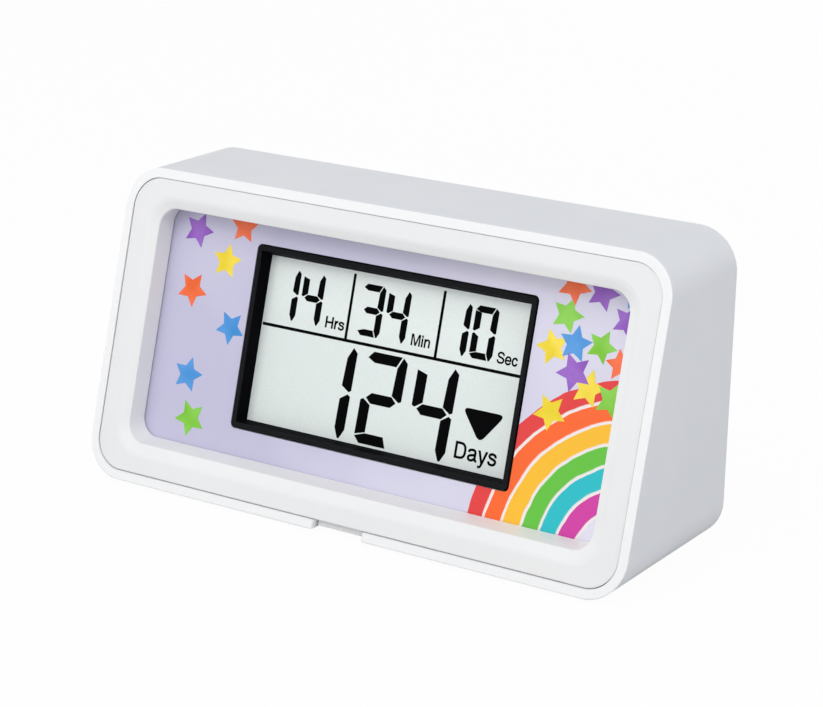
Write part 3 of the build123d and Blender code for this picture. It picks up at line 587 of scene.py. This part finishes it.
def finishMesh(name, mesh):
    # Faces point outwards
    bmesh.ops.recalc_face_normals(mesh, faces=mesh.faces)
    data = bpy.data.meshes.new(name)
    mesh.to_mesh(data)
    mesh.free()
    return data


def addOutline(mesh, points, place=onFace):
    # A thin closed plate with this outline, in mm
    area = sum(points[n - 1][0] * points[n][1] - points[n][0] * points[n - 1][1] for n in range(len(points)))
    if area < 0:
        points = points[::-1]
    depth = segments["depth"]
    front = [mesh.verts.new(place(x, up, depth)) for x, up in points]
    back = [mesh.verts.new(place(x, up, depth + segments["thickness"])) for x, up in points]
    closePlate(mesh, front, back)


def addInkPiece(name, mesh):
    data = finishMesh(name, mesh)
    data.materials.append(finishes["segmentInk"])
    addPiece(name, data, "case")


def addNumber(mesh, number, right, size):
    # The last digit's lower right corner stands at this x
    slope = math.tan(size["lean"])
    outlines = segmentOutlines(size)
    for place, digit in enumerate(reversed(number)):
        left = right - size["width"] - place * size["pitch"]
        for letter in lit[digit]:
            addOutline(mesh, [(left + x + y * slope, size["foot"] + y) for x, y in outlines[letter]])


digits = bmesh.new()
for number, right, size in segments["numbers"]:
    addNumber(digits, number, right, segments[size])
addInkPiece("displayDigits", digits)

rules = {"width": 0.64, "level": 38.3, "left": -31.7, "right": 31.0, "uprights": (-10.78, 11.0), "top": 52.15}


def addRule(mesh, left, right, low, high):
    addOutline(mesh, [(left, low), (right, low), (right, high), (left, high)])


lines = bmesh.new()
half = rules["width"] / 2
addRule(lines, rules["left"], rules["right"], rules["level"] - half, rules["level"] + half)
for x in rules["uprights"]:
    addRule(lines, x - half, x + half, rules["level"] + half, rules["top"])
addInkPiece("displayRules", lines)

pointer = {"left": 19.2, "right": 29.2, "top": 30.1, "tip": 23.6, "round": 1.7, "steps": 6}
middle = (pointer["left"] + pointer["right"]) / 2
corners = [Vector((pointer["left"], pointer["top"])), Vector((middle, pointer["tip"])),
           Vector((pointer["right"], pointer["top"]))]
outline = []
for n, corner in enumerate(corners):
    before = (corners[n - 1] - corner).normalized()
    after = (corners[(n + 1) % 3] - corner).normalized()
    start = corner + before * pointer["round"]
    end = corner + after * pointer["round"]
    for step in range(pointer["steps"] + 1):
        t = step / pointer["steps"]
        outline.append(tuple((1 - t) ** 2 * start + 2 * t * (1 - t) * corner + t ** 2 * end))
triangle = bmesh.new()
addOutline(triangle, outline)
addInkPiece("displayPointer", triangle)


labels = {
    "labelHours": {"text": "Hrs", "left": -16.25, "right": -11.55, "foot": 40.05, "height": 2.4, "bolder": 25},
    "labelMinutes": {"text": "Min", "left": 4.85, "right": 9.35, "foot": 40.05, "height": 2.4, "bolder": 25},
    "labelSeconds": {"text": "Sec", "left": 25.1, "right": 29.9, "foot": 40.0, "height": 2.4, "bolder": 25},
    "labelDays": {"text": "Days", "left": 18.95, "right": 28.75, "foot": 19.68, "height": 3.48, "bolder": 18},
}
# Each letter stands on the baseline, in thousandths of its size: plates are outlines, strokes are middle lines.
# A label's bolder is added to them on every side.
letters = {
    "tall": 718,
    "stroke": 78,
    "H": {"step": 722, "plates": [[
        (77, 0), (164, 0), (164, 325), (560, 325), (560, 0), (647, 0), (647, 718), (560, 718), (560, 405),
        (164, 405), (164, 718), (77, 718)]]},
    "M": {"step": 833, "plates": [[
        (73, 0), (158, 0), (158, 600), (375, 0), (456, 0), (674, 600), (674, 0), (760, 0), (760, 718),
        (638, 718), (416, 130), (195, 718), (73, 718)]]},
    "D": {"step": 722, "plates": [[(85, 0), (172, 0), (172, 718), (85, 718)]], "strokes": [[
        (172, 678), (300, 678), (400, 674), (500, 640), (575, 555), (604, 440), (608, 359), (604, 278),
        (575, 163), (500, 78), (400, 44), (300, 40), (172, 40)]]},
    "S": {"step": 667, "strokes": [[
        (568, 500), (548, 585), (470, 655), (335, 682), (210, 660), (133, 590), (128, 510), (168, 442),
        (262, 398), (385, 368), (500, 328), (572, 268), (583, 190), (545, 105), (455, 48), (335, 32),
        (210, 48), (125, 112), (92, 218)]]},
    "a": {"step": 556, "strokes": [
        [(82, 372), (105, 442), (170, 482), (270, 494), (368, 476), (414, 420), (420, 340), (420, 220),
         (421, 115), (443, 60), (494, 37), (532, 37)],
        [(384, 288), (325, 272), (220, 256), (128, 222), (82, 155), (95, 82), (160, 38), (245, 36),
         (335, 70), (384, 132)]]},
    "c": {"step": 500, "strokes": [[
        (428, 340), (402, 430), (342, 478), (262, 493), (175, 465), (105, 388), (78, 262), (105, 135),
        (175, 58), (262, 30), (345, 50), (408, 105), (434, 190)]]},
    "e": {"step": 556, "plates": [[(112, 228), (440, 228), (440, 298), (112, 298)]], "strokes": [[
        (479, 228), (476, 300), (440, 410), (370, 475), (280, 494), (185, 472), (110, 395), (79, 262),
        (105, 135), (175, 55), (280, 30), (380, 52), (440, 105), (472, 165)]]},
    "i": {"step": 222, "plates": [
        [(68, 0), (149, 0), (149, 523), (68, 523)], [(68, 618), (149, 618), (149, 718), (68, 718)]]},
    "n": {"step": 556, "plates": [[(70, 0), (151, 0), (151, 523), (70, 523)]], "strokes": [[
        (140, 365), (170, 425), (230, 478), (310, 496), (390, 480), (436, 425), (446, 350), (446, 180),
        (446, 0)]]},
    "r": {"step": 333, "plates": [[(70, 0), (151, 0), (151, 523), (70, 523)]], "strokes": [[
        (140, 315), (160, 400), (210, 465), (265, 488), (324, 490)]]},
    "s": {"step": 500, "strokes": [[
        (420, 358), (395, 435), (330, 480), (245, 493), (160, 478), (105, 430), (105, 365), (155, 318),
        (240, 290), (330, 265), (405, 220), (420, 155), (385, 80), (320, 40), (245, 31), (160, 44),
        (98, 88), (72, 168)]]},
    "y": {"step": 500, "plates": [[
        (12, 523), (103, 523), (250, 112), (397, 523), (486, 523), (290, -18), (256, -108), (206, -182),
        (140, -212), (70, -204), (70, -130), (120, -138), (165, -124), (190, -86), (207, -20)]]},
}
weld = 0.0005  # mm, for corners that fall together when plates are joined
sharpest = 0.5  # holds back the points of very sharp corners


def smoothLine(points, steps=4):
    # A curve through the points, which runs straight out of its two ends
    first = tuple(2 * a - b for a, b in zip(points[0], points[1]))
    last = tuple(2 * a - b for a, b in zip(points[-1], points[-2]))
    stops = [Vector(p) for p in (first, *points, last)]
    line = []
    for p, q, r, s in zip(stops, stops[1:], stops[2:], stops[3:]):
        bend = 2 * p - 5 * q + 4 * r - s
        twist = 3 * q - p - 3 * r + s
        for step in range(steps):
            t = step / steps
            line.append(0.5 * (2 * q + (r - p) * t + bend * t ** 2 + twist * t ** 3))
    return line + [stops[-2]]


def strokeOutline(points, width):
    # The outline of a stroke of this width along the curve
    line = smoothLine(points)
    left, right = [], []
    for n, point in enumerate(line):
        along = (line[min(n + 1, len(line) - 1)] - line[max(n - 1, 0)]).normalized()
        side = Vector((-along.y, along.x)) * width / 2
        left.append(tuple(point + side))
        right.append(tuple(point - side))
    return left + right[::-1]


def growOutline(points, amount):
    # Every side of the outline moves out by this much
    corners = [Vector(p) for p in points]
    following = corners[1:] + corners[:1]
    turn = 1 if sum(a.cross(b) for a, b in zip(corners, following)) > 0 else -1
    grown = []
    for before, corner, after in zip(corners[-1:] + corners[:-1], corners, following):
        sides = ((corner - before).normalized(), (after - corner).normalized())
        first, second = (Vector((side.y, -side.x)) * turn for side in sides)
        shift = (first + second) / max(sharpest, 1 + first.dot(second))
        grown.append(tuple(corner + shift * amount))
    return grown


def plateTree(name, material):
    # Closed plates that overlap become one closed plate
    tree, given = startTree(name)
    join = tree.nodes.new("GeometryNodeMeshBoolean")
    join.operation = "UNION"
    join.solver = "EXACT"
    join.inputs["Self Intersection"].default_value = True
    tree.links.new(given["Geometry"], join.inputs["Mesh 2"])
    endTree(tree, join.outputs["Mesh"], material)
    return tree


def flatPlace(x, up, depth):
    return Vector((x, up, depth))


def joinPlates(mesh, tree):
    # Runs the tree on the plates, and leaves one mesh to place
    carrier = scratchObject("plates", finishMesh("plates", mesh))
    carrier.modifiers.new("join", "NODES").node_group = tree
    joined = bmesh.new()
    joined.from_mesh(takeMesh(carrier))
    bmesh.ops.remove_doubles(joined, verts=joined.verts, dist=weld)
    return joined


def addLabel(name, facts, tree):
    # A word in plain upright letters that fills the width from left to right
    bolder = facts["bolder"]
    shapes = []
    at = 0
    for letter in facts["text"]:
        drawn = letters[letter]
        outlines = [growOutline(plate, bolder) for plate in drawn.get("plates", [])]
        outlines += [strokeOutline(line, letters["stroke"] + 2 * bolder) for line in drawn.get("strokes", [])]
        shapes += [[(at + x, up) for x, up in outline] for outline in outlines]
        at += drawn["step"]
    least = min(x for shape in shapes for x, up in shape)
    most = max(x for shape in shapes for x, up in shape)
    across = (facts["right"] - facts["left"]) / (most - least)
    upward = facts["height"] / (letters["tall"] + 2 * bolder)
    plates = bmesh.new()
    for shape in shapes:
        points = [(facts["left"] + (x - least) * across, facts["foot"] + (up + bolder) * upward)
                  for x, up in shape]
        addOutline(plates, points, flatPlace)
    mesh = joinPlates(plates, tree)
    for vert in mesh.verts:
        vert.co = onFace(*vert.co)
    addInkPiece(name, mesh)


joinTree = plateTree("joinPlates", finishes["segmentInk"])
for name, facts in labels.items():
    addLabel(name, facts, joinTree)
print("display drawn")


stars = {
    "seed": 7,
    "depth": 6.29,
    "thickness": 0.02,
    "points": 5,
    "radius": 3.7,
    "waist": 0.5,
    "smallest": 0.85,
    "largest": 1.1,
    "spots": {
        "plum": [(47.5, 57.6), (53.6, 53.0), (-49.6, 55.2), (44.0, 41.5)],
        "leaf": [(40.6, 52.2), (49.0, 47.4), (53.0, 37.6), (-44.5, 15.6)],
        "sun": [(38.5, 45.5), (47.6, 39.0), (-41.2, 49.8), (40.2, 33.0)],
        "ember": [(41.2, 58.0), (53.5, 44.6), (-49.0, 42.6), (-38.0, 57.6)],
        "sky": [(54.2, 59.0), (-46.8, 24.6), (43.3, 47.0), (-37.8, 36.2)],
    },
    "inks": {
        "plum": (0.27, 0.06, 0.52),
        "leaf": (0.20, 0.60, 0.01),
        "sun": (0.95, 0.72, 0.005),
        "ember": (0.95, 0.12, 0.004),
        "sky": (0.02, 0.27, 0.70),
    },
    "paler": 0.07,
    "darker": 0.86,
    "toneScale": 170.0,
    "toneBetween": (0.35, 0.65),
    "screenScale": 3000.0,
    "screenBetween": (0.4, 0.6),
    "screenAmount": 0.25,
    "rough": (0.36, 0.44),
}


def printInk(name, colour):
    # Printed colour that varies a little, with a fine screen
    material, tree, shader, where = startMaterial(name)
    paler = tuple(part + (1 - part) * stars["paler"] for part in colour)
    darker = tuple(part * stars["darker"] for part in colour)
    tone = addPatches(tree, where, stars["toneScale"], 1.0, stars["toneBetween"])
    screen = addPatches(tree, where, stars["screenScale"], 1.0, stars["screenBetween"])
    body = addMix(tree, tone, darker, paler)
    screened = addMix(tree, addMath(tree, "MULTIPLY", screen, stars["screenAmount"]), body, colour)
    tree.links.new(screened, shader.inputs["Base Color"])
    tree.links.new(addRange(tree, screen, 0.0, 1.0, *stars["rough"]), shader.inputs["Roughness"])
    return material


def scatterTree(name, material):
    # One thin star on each given point, turned and sized at random from the seed
    tree, given = startTree(name)
    kinds = {"Star": "NodeSocketObject", "Smallest": "NodeSocketFloat", "Largest": "NodeSocketFloat",
             "Seed": "NodeSocketInt"}
    sockets = {label: tree.interface.new_socket(label, in_out="INPUT", socket_type=kind)
               for label, kind in kinds.items()}
    info = tree.nodes.new("GeometryNodeObjectInfo")
    turn = tree.nodes.new("FunctionNodeRandomValue")
    turn.data_type = "FLOAT_VECTOR"
    turn.inputs["Min"].default_value = (0, 0, 0)
    turn.inputs["Max"].default_value = (0, 0, math.tau)
    size = tree.nodes.new("FunctionNodeRandomValue")
    placed = tree.nodes.new("GeometryNodeInstanceOnPoints")
    for start, end in (
        (given["Star"], info.inputs["Object"]),
        (given["Smallest"], size.inputs[2]),
        (given["Largest"], size.inputs[3]),
        (given["Seed"], turn.inputs["Seed"]),
        (given["Seed"], size.inputs["Seed"]),
        (given["Geometry"], placed.inputs["Points"]),
        (info.outputs["Geometry"], placed.inputs["Instance"]),
        (turn.outputs["Value"], placed.inputs["Rotation"]),
        (size.outputs[1], placed.inputs["Scale"]),
    ):
        tree.links.new(start, end)
    endTree(tree, placed.outputs["Instances"], material)
    return tree, {label: socket.identifier for label, socket in sockets.items()}


def flatStar():
    # A thin star round the origin, in metres
    mesh = bmesh.new()
    ring = []
    for n in range(2 * stars["points"]):
        reach = stars["radius"] * (1 if n % 2 == 0 else stars["waist"]) * mm
        angle = math.pi * n / stars["points"]
        ring.append((reach * math.sin(angle), reach * math.cos(angle)))
    top = [mesh.verts.new((x, y, stars["thickness"] * mm)) for x, y in ring]
    low = [mesh.verts.new((x, y, 0)) for x, y in ring]
    closePlate(mesh, top, low)
    return scratchObject("starShape", finishMesh("starShape", mesh))


star = flatStar()
for colour, spots in stars["spots"].items():
    # Points lie on the XY plane while the stars are placed, and are laid on the card afterwards
    data = bpy.data.meshes.new("spots")
    data.from_pydata([(x * mm, up * mm, 0) for x, up in spots], [], [])
    carrier = scratchObject("spots", data)
    tree, sockets = scatterTree("scatterStars", printInk(colour + "Ink", stars["inks"][colour]))
    modifier = carrier.modifiers.new("stars", "NODES")
    modifier.node_group = tree
    modifier[sockets["Star"]] = star
    modifier[sockets["Smallest"]] = stars["smallest"]
    modifier[sockets["Largest"]] = stars["largest"]
    modifier[sockets["Seed"]] = stars["seed"] + len(colour)
    laid = takeMesh(carrier)
    for vert in laid.vertices:
        vert.co = onFace(vert.co.x / mm, vert.co.y / mm, stars["depth"] - vert.co.z / mm)
    addPiece(colour + "Stars", laid, "picture_card")
bpy.data.objects.remove(star)
print("card printed")


studio = {
    "floorSize": 6.0,
    "floorColour": (0.7, 0.7, 0.7, 1),
    "floorWhite": 0.97,  # how much of the floor is plain white to the camera
    "light": (0.95, 0.97, 1.0, 1),
    "lightStrength": 0.53,
    "white": (1, 1, 1, 1),
    "aim": (0, 0, 0.03),
}
lamps = {
    "frontKey": {"at": (0.1, -0.55, 0.85), "size": 0.7, "power": 3.7},
    "frontFill": {"at": (-0.25, -0.75, 0.45), "size": 0.6, "power": 1.6},
    "rightFill": {"at": (0.88, -0.1, 0.24), "size": 0.44, "power": 1.8},
    "leftFill": {"at": (-0.9, -0.1, 0.1), "size": 0.16, "power": 1.3},
    "backFill": {"at": (0.0, 0.95, 0.09), "size": 0.14, "power": 2.4},
}


def mixShaders(tree, factor, first, second, output):
    blend = tree.nodes.new("ShaderNodeMixShader")
    tree.links.new(factor, blend.inputs["Fac"])
    tree.links.new(first, blend.inputs[1])
    tree.links.new(second, blend.inputs[2])
    tree.links.new(blend.outputs["Shader"], output.inputs["Surface"])


def addFloor(settings):
    # Takes shadows, and is nearly white to the camera
    far = settings["floorSize"]
    data = bpy.data.meshes.new("floor")
    data.from_pydata([(-far, -far, 0), (far, -far, 0), (far, far, 0), (-far, far, 0)], [], [(0, 1, 2, 3)])
    floor = bpy.data.objects.new("floor", data)
    bpy.context.scene.collection.objects.link(floor)
    paper = bpy.data.materials.new("floorPaper")
    paper.use_nodes = True
    tree = paper.node_tree
    tree.nodes.clear()
    output = tree.nodes.new("ShaderNodeOutputMaterial")
    matt = tree.nodes.new("ShaderNodeBsdfDiffuse")
    matt.inputs["Color"].default_value = settings["floorColour"]
    glow = tree.nodes.new("ShaderNodeEmission")
    glow.inputs["Color"].default_value = settings["white"]
    glow.inputs["Strength"].default_value = 1.0
    rays = tree.nodes.new("ShaderNodeLightPath").outputs
    seen = addMath(tree, "MULTIPLY", rays["Is Camera Ray"], settings["floorWhite"])
    mixShaders(tree, seen, matt.outputs["BSDF"], glow.outputs["Emission"], output)
    data.materials.append(paper)


def addBackground(tree, colour, strength):
    background = tree.nodes.new("ShaderNodeBackground")
    background.inputs["Color"].default_value = colour
    background.inputs["Strength"].default_value = strength
    return background.outputs["Background"]


def addWorld(settings):
    # Plain light on the object, and white to the camera and in reflections
    world = bpy.data.worlds.new("studio")
    bpy.context.scene.world = world
    world.use_nodes = True
    tree = world.node_tree
    tree.nodes.clear()
    output = tree.nodes.new("ShaderNodeOutputWorld")
    plain = addBackground(tree, settings["light"], settings["lightStrength"])
    shown = addBackground(tree, settings["white"], 1.0)
    rays = tree.nodes.new("ShaderNodeLightPath").outputs
    mirrored = addMath(tree, "MAXIMUM", rays["Is Camera Ray"], rays["Is Glossy Ray"])
    mirrored = addMath(tree, "MAXIMUM", mirrored, rays["Is Transmission Ray"])
    mixShaders(tree, mirrored, plain, shown, output)


addFloor(studio)
addWorld(studio)
for name, facts in lamps.items():
    light = bpy.data.lights.new(name, "AREA")
    light.shape = "SQUARE"
    light.size = facts["size"]
    light.energy = facts["power"]
    lamp = bpy.data.objects.new(name, light)
    lamp.location = facts["at"]
    lamp.rotation_euler = (Vector(studio["aim"]) - lamp.location).to_track_quat("-Z", "Y").to_euler()
    bpy.context.scene.collection.objects.link(lamp)

view = {
    "at": (266.7, -410.75, 185.22),  # in mm, as the photograph was taken
    "right": (0.83895524, 0.54390158, 0.01803268),
    "down": (0.17506316, -0.23835948, -0.95526836),
    "forward": (-0.51527372, 0.80458426, -0.29519006),
    "focalPixels": 2509.23,
    "framePixels": 823,
    "sensorWidth": 36,
    "nearest": 0.01,
}
lens = bpy.data.cameras.new("camera")
lens.sensor_width = view["sensorWidth"]
lens.lens = view["focalPixels"] / view["framePixels"] * view["sensorWidth"]
lens.clip_start = view["nearest"]
camera = bpy.data.objects.new("camera", lens)
bpy.context.scene.collection.objects.link(camera)
turn = Matrix((Vector(view["right"]), -Vector(view["down"]), -Vector(view["forward"]))).transposed()
camera.matrix_world = Matrix.Translation(Vector(view["at"]) * mm) @ turn.to_4x4()
bpy.context.scene.camera = camera
bpy.context.scene.view_settings.view_transform = "Standard"
print("light and camera set")
